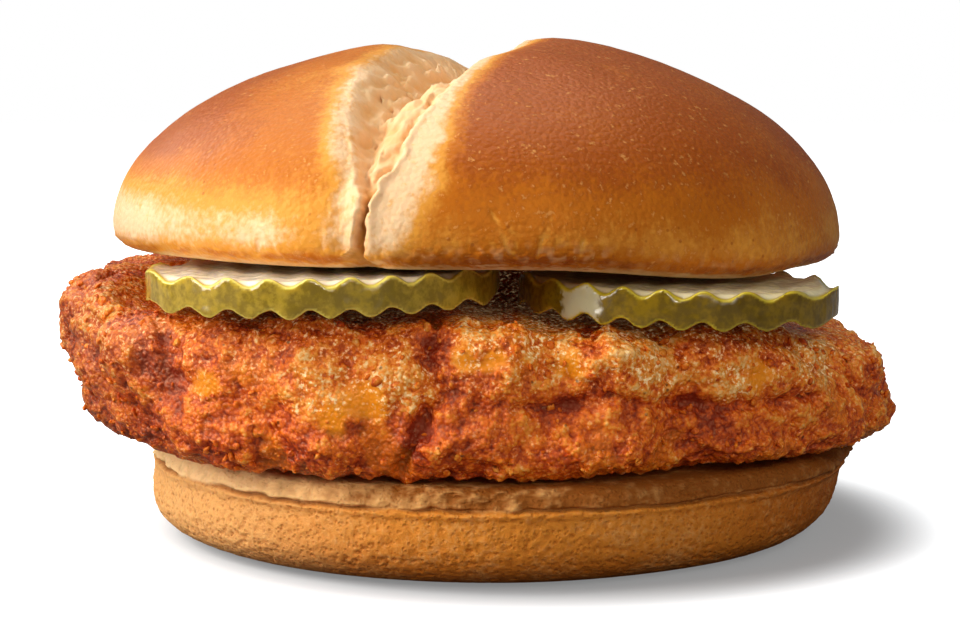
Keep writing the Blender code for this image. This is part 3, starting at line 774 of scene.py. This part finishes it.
def coatingMaterial():
    material, tree, shader = newMaterial("fried coating")
    look = useGroup(tree, patches, fillet["patchSizes"])
    sparkle = useGroup(tree, patches, fillet["sparkleSizes"])
    height = useGroup(tree, grain, fillet["grainSizes"])["Height"]
    tone = mathOf(tree, "MULTIPLY_ADD", look["Broad"], 0.70, maskOf(tree, "tone"))
    tone = mathOf(tree, "MULTIPLY_ADD", look["Fine"], 0.85, tone)
    tone = mathOf(tree, "MULTIPLY_ADD", height, 0.34, tone)
    tone = mathOf(tree, "SUBTRACT", tone, 1.13)
    # the sandy places are grainier than the glazed ones
    sandy = maskOf(tree, "sandy")
    grainier = mathOf(tree, "MULTIPLY_ADD", sandy, 1.25, 0.15)
    grains = mathOf(tree, "SUBTRACT", sparkle["Fine"], 0.5)
    tone = mathOf(tree, "MULTIPLY_ADD", grains, grainier, tone, clamp=True)
    colour = rampOf(tree, tone, fillet["crust"])
    colour = mixOf(tree, partOf(tree, maskOf(tree, "amber"), 0.85), colour, fillet["amber"])
    # painted glints: tiny bright spots with a faint painted glow, more of them where the coating is sandy
    # and pale
    clustered = rangeOf(tree, sparkle["Broad"], 0.36, 0.56, 0.25, 1.0)
    lit = mathOf(tree, "MULTIPLY", clustered, rangeOf(tree, tone, 0.25, 0.60, 0.15, 1.0))
    speckled = mathOf(tree, "MULTIPLY_ADD", sandy, 0.065, sparkle["Fine"])
    glint = mathOf(tree, "MULTIPLY", lit, rangeOf(tree, speckled, 0.60, 0.69))
    glint = mathOf(tree, "MULTIPLY", glint, sandy)
    colour = mixOf(tree, partOf(tree, glint, 0.95), colour, fillet["glint"])
    glow = mixOf(tree, glint, black, fillet["glintGlow"])
    # painted shade at the far left
    dimmed = mixOf(tree, 1.0, colour, fillet["dimmed"], "MULTIPLY")
    colour = mixOf(tree, maskOf(tree, "dim"), colour, dimmed)
    rare = mathOf(tree, "MULTIPLY", look["Specks"], rangeOf(tree, look["Broad"], 0.50, 0.58))
    colour = mixOf(tree, partOf(tree, rare, 0.85), colour, fillet["pepper"])
    rough = rangeOf(tree, look["Fine"], 0.35, 0.65, *fillet["roughness"])
    linkLook(tree, shader, {"Base Color": colour, "Roughness": rough, "Emission Color": glow})
    calmer = mathOf(tree, "MULTIPLY_ADD", maskOf(tree, "amber"), -0.45, 1.0)
    linkBump(tree, shader, mathOf(tree, "MULTIPLY", height, calmer), *fillet["bump"])
    setLook(shader, fillet["surface"])
    return material


def makeFillet(material):
    piece = copyOfNode("chicken_fillet", "chickenFilletFried")
    smoothLevels(piece, 1)
    applyModifier(piece, "SMOOTH", factor=0.5, iterations=6)
    subdivideWhere(piece, rimFaces, 2)
    points = pointsOf(piece)
    outward = normalsOf(piece)
    halfWidth, halfDepth = fillet["halfSize"]
    rounded = ease(np.hypot(points[:, 0] / halfWidth, points[:, 1] / halfDepth), 0.70, 0.86)
    front = ease(-points[:, 1], -fillet["frontDepth"] - 6.0, -fillet["frontDepth"] + 4.0)

    # creases: the ones seen on the front, and wandering ones round the rest
    warped = points + 1.3 * noiseVector(points, 3.5, (1.0, 2.0, 3.0))
    crease = np.zeros(len(points))
    for depth, width, path in fillet["creases"]:
        crease = np.maximum(crease, depth * bell(distanceToPath(warped, path), 0.0, width) * front)
    flattened = warped * np.array((1.0, 1.0, 1.7))
    wandering = bell(softNoise(flattened, 12.0, 41.0), 0.0, 0.055)
    wandering *= ease(softNoise(points, 9.0, 8.0), -0.2, 0.2)
    crease = np.maximum(crease, wandering * (1.1 - 0.85 * front))

    # lumps, crags and grains, calmer where the coating is smooth and amber
    big = roughNoise(points, 8.0, 11.0, 2)
    medium = roughNoise(points, 2.6, 21.0, 3)
    domes = 0.55 - cellDistance(points, 1.5, 6.0)
    smallDomes = 0.5 - cellDistance(points, 0.75, 16.0)
    ragged = 0.5 * softNoise(points, 2.4, 81.0) + 0.3 * softNoise(points, 1.0, 83.0)
    scattered = ease(softNoise(points, 6.5, 71.0) + 0.25 * softNoise(points, 2.2, 3.0), 0.30, 0.50)
    amber = np.maximum(
        spread(points, fillet["amberPlaces"], ragged) * front, scattered * (0.6 - 0.35 * front))
    calm = 1.0 - 0.8 * amber
    moved = 0.45 * big + fillet["mediumRelief"] * medium * calm - crease
    moved += calm * fillet["grainRelief"] * domes * (1.0 + 0.8 * softNoise(points, 4.0, 33.0))
    moved += calm * fillet["fineRelief"] * smallDomes
    moved *= 0.25 + 0.75 * rounded
    setPoints(piece, points + outward * moved[:, None])

    # how pale or red the coating is, with painted shade in creases and low down and painted light to the
    # right; its smooth amber places, its sandy ones with the painted glints, and painted shade at the far
    # left
    gold = spread(points, fillet["goldPlaces"], ragged) * front
    red = spread(points, fillet["redPlaces"], ragged) * front
    tone = 0.45 + 0.12 * big + 0.28 * medium + 0.18 * domes + 0.10 * smallDomes
    tone += 0.31 * gold + 0.18 * ease(softNoise(points, 7.0, 19.0), 0.1, 0.4) * (1.0 - front)
    # painted shade in the creases and low down; the red places are darker
    tone -= 0.17 * red + 0.20 * np.clip(crease, 0.0, 1.0) + 0.14 * ease(points[:, 2], 27.0, 17.0)
    # painted light to the right, painted shade at the far left
    tone += 0.10 * ease(points[:, 0], -15.0, 25.0) - 0.06 * ease(-points[:, 0], 38.0, 56.0)
    storeMask(piece, "tone", np.clip(tone, 0.0, 1.0))
    storeMask(piece, "amber", amber)
    sandy = 0.30 + 0.70 * np.maximum(gold, 0.6 * ease(points[:, 2], 22.0, 31.0)) - 0.25 * red
    storeMask(piece, "sandy", np.clip(sandy, 0.1, 1.0))
    storeMask(piece, "dim", ease(-points[:, 0], 36.0, 58.0) * ease(-points[:, 1], -35.0, 0.0))
    shadeSmooth(piece)
    piece.data.materials.append(material)
    standIn(piece, "chicken_fillet")
    return piece


friedCoating = coatingMaterial()
friedFillet = makeFillet(friedCoating)
print("fillet dressed")


# Loose bits of coating

coatingBits = {
    "count": 750,
    "kinds": 8,
    "smallest": 0.26,  # half width, mm
    "largest": 0.80,
    "smallShare": 2.2,  # higher for more small bits
    "lowest": 15.5,  # height and outline share past which bits lie
    "outline": 0.93,
    "standOff": 0.15,  # how far a bit's middle is off the coating, in half widths
    "seed": 12,
}


def bitShape(kind):
    bpy.ops.object.select_all(action="DESELECT")
    bpy.ops.mesh.primitive_ico_sphere_add(subdivisions=2, radius=1.0)
    bit = bpy.context.object
    shape = pointsOf(bit) / mmPerMetre
    shape *= (1.0 + 0.55 * softNoise(shape, 0.9, 3.0 + kind))[:, None]
    bit.data.vertices.foreach_set("co", shape.ravel())
    return bit


def makeCoatingBits():
    chance = np.random.default_rng(coatingBits["seed"])
    points = pointsOf(friedFillet)
    facing = normalsOf(friedFillet)
    halfWidth, halfDepth = fillet["halfSize"]
    reach = np.hypot((points[:, 0] - fillet["middle"]) / halfWidth, points[:, 1] / halfDepth)
    allowed = np.flatnonzero((reach > coatingBits["outline"]) & (points[:, 2] > coatingBits["lowest"]))
    kinds = [bitShape(kind) for kind in range(coatingBits["kinds"])]
    smallest = coatingBits["smallest"]
    sizeRange = coatingBits["largest"] - smallest
    copies = []
    for place in chance.choice(allowed, coatingBits["count"], replace=False):
        kind = kinds[int(chance.integers(len(kinds)))]
        copy = bpy.data.objects.new("coatingBit", kind.data.copy())
        scene.collection.objects.link(copy)
        size = smallest + sizeRange * chance.random() ** coatingBits["smallShare"]
        width = size * (0.5 + 0.5 * chance.random())
        height = size * (0.35 + 0.3 * chance.random())
        squash = Matrix.Diagonal((size, width, height, 1.0))
        lean = Vector(facing[place]) + 0.5 * Vector(chance.normal(size=3))
        upright = lean.to_track_quat("Z", "Y").to_matrix().to_4x4()
        turn = upright @ Matrix.Rotation(chance.random() * 6.28, 4, "Z")
        centre = points[place] + facing[place] * size * coatingBits["standOff"]
        copy.data.transform(Matrix.Scale(mm, 4) @ Matrix.Translation(centre) @ turn @ squash)
        copies.append(copy)
    for bit in kinds:
        bpy.data.objects.remove(bit)
    bpy.ops.object.select_all(action="DESELECT")
    for copy in copies:
        copy.select_set(True)
    bpy.context.view_layer.objects.active = copies[0]
    bpy.ops.object.join()
    piece = bpy.context.object
    piece.name = "coatingBits"
    piece.data.name = "coatingBits"
    storeMask(piece, "tone", 0.50 + 0.30 * softNoise(pointsOf(piece), 1.4, 5.0))
    storeMask(piece, "amber", np.zeros(len(piece.data.vertices)))
    shadeSmooth(piece)
    piece.data.materials.append(friedCoating)
    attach(piece, "root")


makeCoatingBits()
print("coating bits scattered")


# Pickles

pickles = {
    "voxel": 0.32,  # mm
    "skinWidth": 1.0,
    "places": {"pickle_left": ((-23.8, -31.2), 24.0), "pickle_right": ((25.1, -28.6), 22.0)},
    "fleshSoftened": 0.8,  # how much of the waves the soft flesh loses
    "fleshLift": 0.15,
    "leftTones": {
        "skin": (0.46, 0.31, 0.024), "dark": (0.26, 0.17, 0.010), "crest": (0.74, 0.60, 0.10),
        "flesh": (0.92, 0.86, 0.66), "gloss": 0.35},
    # the right slice is a copy with painted shade: darker skin and flesh
    "shadedRightTones": {
        "skin": (0.25, 0.150, 0.002), "dark": (0.14, 0.082, 0.001), "crest": (0.50, 0.38, 0.02),
        "flesh": (0.72, 0.64, 0.38), "gloss": 0.15},
    # a painted highlight on the right slice's skin
    "bleached": (0.62, 0.56, 0.34),
    "highlightPlace": (10.9, 2.3),  # x and half width on the front of the right slice, mm
    "patchSizes": {"Broad Size": 3.2, "Fine Size": 0.9, "Speck Size": 0.9},
    "grainSizes": {"Size": 1.4, "Fineness": 0.9, "Grit": 0.6},
    "bump": (0.22, 0.08),  # strength, and depth in mm
    "roughness": (0.12, 0.26),
    "surface": {
        "Subsurface Weight": 0.55, "Subsurface Scale": 0.003, "Subsurface Radius": (0.8, 0.7, 0.25),
        "Coat Roughness": 0.06},
}


def pickleMaterial(name, tones):
    material, tree, shader = newMaterial(name)
    look = useGroup(tree, patches, pickles["patchSizes"])
    mottled = mathOf(tree, "MULTIPLY_ADD", look["Fine"], 0.5, partOf(tree, look["Broad"], 0.5))
    skin = mixOf(tree, rangeOf(tree, mottled, 0.40, 0.60), tones["skin"], tones["dark"])
    # painted highlight
    skin = mixOf(tree, partOf(tree, maskOf(tree, "bleached"), 0.8), skin, pickles["bleached"])
    skin = mixOf(tree, partOf(tree, look["Specks"], 0.4), skin, tones["dark"])
    skin = mixOf(tree, maskOf(tree, "edge"), skin, tones["crest"])
    colour = mixOf(tree, maskOf(tree, "flesh"), skin, tones["flesh"])
    rough = rangeOf(tree, look["Fine"], 0.35, 0.65, *pickles["roughness"])
    linkLook(tree, shader, {"Base Color": colour, "Roughness": rough})
    height = useGroup(tree, grain, pickles["grainSizes"])["Height"]
    linkBump(tree, shader, height, *pickles["bump"])
    setLook(shader, {**pickles["surface"], "Coat Weight": tones["gloss"]})
    return material


def makePickle(nodeName, pieceName, material):
    (middleX, middleY), radius = pickles["places"][nodeName]
    piece = copyOfNode(nodeName, pieceName)
    applyModifier(piece, "REMESH", mode="VOXEL", voxel_size=pickles["voxel"] * mm)
    applyModifier(piece, "SMOOTH", factor=0.5, iterations=4)
    points = pointsOf(piece)
    outward = normalsOf(piece)
    moved = 0.10 * softNoise(points, 3.0, 14.0) + 0.06 * softNoise(points, 1.1, 24.0)
    reach = np.hypot(points[:, 0] - middleX, points[:, 1] - middleY)
    around = np.arctan2(points[:, 1] - middleY, points[:, 0] - middleX)
    # the solid's slightly uneven outline
    rim = radius * (1.0 + 0.012 * np.sin(2 * around + 0.5) + 0.008 * np.sin(3 * around))

    # the soft flesh inside the rim has shallower waves than the firm skin: it nears a level plane
    top = outward[:, 2] > 0.3
    plan = np.stack([points[:, 0], points[:, 1], np.ones(len(points))], axis=1)
    level = np.linalg.lstsq(plan[top], points[top, 2], rcond=None)[0]
    softened = pickles["fleshSoftened"] * ease(rim - reach, 0.7, 2.4) * top
    shifted = points + outward * moved[:, None]
    shifted[:, 2] += softened * (plan @ level + pickles["fleshLift"] - points[:, 2])
    setPoints(piece, shifted)

    # the flesh, a painted highlight on the skin, and the skin's pale edges
    skinInside = rim - pickles["skinWidth"]
    skinShare = ease(reach, skinInside - 0.4, skinInside + 0.2)
    storeMask(piece, "flesh", 1.0 - skinShare)
    bleachedX, bleachedHalf = pickles["highlightPlace"]
    wavy = np.abs(points[:, 0] - bleachedX) + 0.5 * roughNoise(points, 0.9, 12.0)
    bleached = ease(wavy, bleachedHalf + 0.2, bleachedHalf - 0.2) * (points[:, 1] < middleY) * skinShare
    storeMask(piece, "bleached", bleached)
    storeMask(piece, "edge", ease(np.abs(outward[:, 2]), 0.18, 0.5) * skinShare)
    shadeSmooth(piece)
    piece.data.materials.append(material)
    standIn(piece, nodeName)


leftPickle = pickleMaterial("wet pickle", pickles["leftTones"])
rightPickle = pickleMaterial("darker wet pickle", pickles["shadedRightTones"])
makePickle("pickle_left", "pickleSliceLeft", leftPickle)
makePickle("pickle_right", "pickleSliceRight", rightPickle)
print("pickles dressed")


# Floor, light and camera

studio = {
    # places and sizes in metres, powers in watts
    "floorHalf": 1.6,
    "floorSeen": (0.72, 0.75, 0.77),
    "floorBounce": (0.22, 0.20, 0.18),
    "floorGlow": 0.21,  # how much the floor glows under the bun, up to 1 further out
    "glowReach": (0.049, 0.070),
    "contactShadow": 0.5,  # how much darker the painted contact shadow makes the floor under the bun
    "contactShadowReach": (0.046, 0.064),
    "shadowMiddle": (0.006, 0.0, 0.0),
    "fill": 0.12,
    "lightsAim": (0.0, 0.0, 0.03),
    "lights": {
        "keyLight": {
            "at": (-0.56, -0.20, 0.34), "size": (0.44, 0.62), "power": 6.2, "colour": (1.0, 0.98, 0.955)},
        "overheadLight": {
            "at": (-0.12, 0.16, 0.70), "size": (0.80, 0.80), "power": 3.2, "colour": white},
        "frontLight": {
            "at": (0.26, -0.56, 0.30), "size": (0.50, 0.50), "power": 0.85, "colour": white},
        "sparkleFrontLight": {
            "at": (0.12, -0.50, 0.26), "size": (0.08, 0.08), "power": 0.45, "colour": (1.0, 0.96, 0.90)},
        "sparkleBackLight": {
            "at": (-0.42, 0.36, 0.34), "size": (0.25, 0.25), "power": 0.6, "colour": (1.0, 0.96, 0.90)},
    },
    "lens": 84.9,
    "sensor": 36.0,
    "cameraAt": (-0.0023, -0.340, 0.0725),
    "cameraPitch": 7.1,  # degrees down
}


def makeFloor():
    bpy.ops.object.select_all(action="DESELECT")
    bpy.ops.mesh.primitive_plane_add(size=2 * studio["floorHalf"], location=(0.0, 0.0, 0.0))
    floor = bpy.context.object
    floor.name = "floor"
    material, tree, shader = newMaterial("pale floor")
    ray = tree.nodes.new("ShaderNodeLightPath")
    place = addNode(tree, "ShaderNodeTexCoord").outputs["Object"]
    shifted = addNode(tree, "ShaderNodeVectorMath", operation="SUBTRACT")
    shifted.inputs[1].default_value = studio["shadowMiddle"]
    length = addNode(tree, "ShaderNodeVectorMath", operation="LENGTH")
    tree.links.new(place, shifted.inputs[0])
    tree.links.new(shifted.outputs["Vector"], length.inputs[0])
    away = length.outputs["Value"]
    # what is seen has a painted shadow under the bun, and glows up to white away from it
    near = rangeOf(tree, away, *studio["contactShadowReach"], 1.0 - studio["contactShadow"], 1.0)
    seen = mixOf(tree, ray.outputs["Is Camera Ray"], studio["floorBounce"], studio["floorSeen"])
    far = rangeOf(tree, away, *studio["glowReach"], studio["floorGlow"], 1.0)
    glow = mathOf(tree, "MULTIPLY", far, ray.outputs["Is Camera Ray"])
    linkLook(tree, shader, {"Base Color": mixOf(tree, near, black, seen), "Emission Strength": glow})
    setLook(shader, {"Roughness": 1.0, "Specular IOR Level": 0.0, "Emission Color": (*white, 1.0)})
    floor.data.materials.append(material)


def makeLight(name, values):
    bpy.ops.object.select_all(action="DESELECT")
    bpy.ops.object.light_add(type="AREA", location=values["at"])
    light = bpy.context.object
    light.name = name
    light.data.shape = "ELLIPSE"
    light.data.size, light.data.size_y = values["size"]
    light.data.energy = values["power"]
    light.data.color = values["colour"]
    aim = Vector(studio["lightsAim"]) - Vector(values["at"])
    light.rotation_euler = aim.to_track_quat("-Z", "Y").to_euler()


def makeWorld():
    # white where the camera sees it, and a faint fill for the rest
    world = bpy.data.worlds.new("studio")
    scene.world = world
    world.use_nodes = True
    tree = world.node_tree
    background = tree.nodes["Background"]
    background.inputs["Color"].default_value = (*white, 1.0)
    ray = tree.nodes.new("ShaderNodeLightPath")
    strength = rangeOf(tree, ray.outputs["Is Camera Ray"], 0.0, 1.0, studio["fill"], 1.0)
    tree.links.new(strength, background.inputs["Strength"])


def makeCamera():
    data = bpy.data.cameras.new("camera")
    camera = bpy.data.objects.new("camera", data)
    scene.collection.objects.link(camera)
    data.lens = studio["lens"]
    data.sensor_width = studio["sensor"]
    camera.location = studio["cameraAt"]
    camera.rotation_euler = (math.radians(90.0 - studio["cameraPitch"]), 0.0, 0.0)
    scene.camera = camera


makeFloor()
for lightName, lightValues in studio["lights"].items():
    makeLight(lightName, lightValues)
makeWorld()
makeCamera()
scene.view_settings.view_transform = "Standard"
scene.view_settings.look = "None"
print("studio ready")
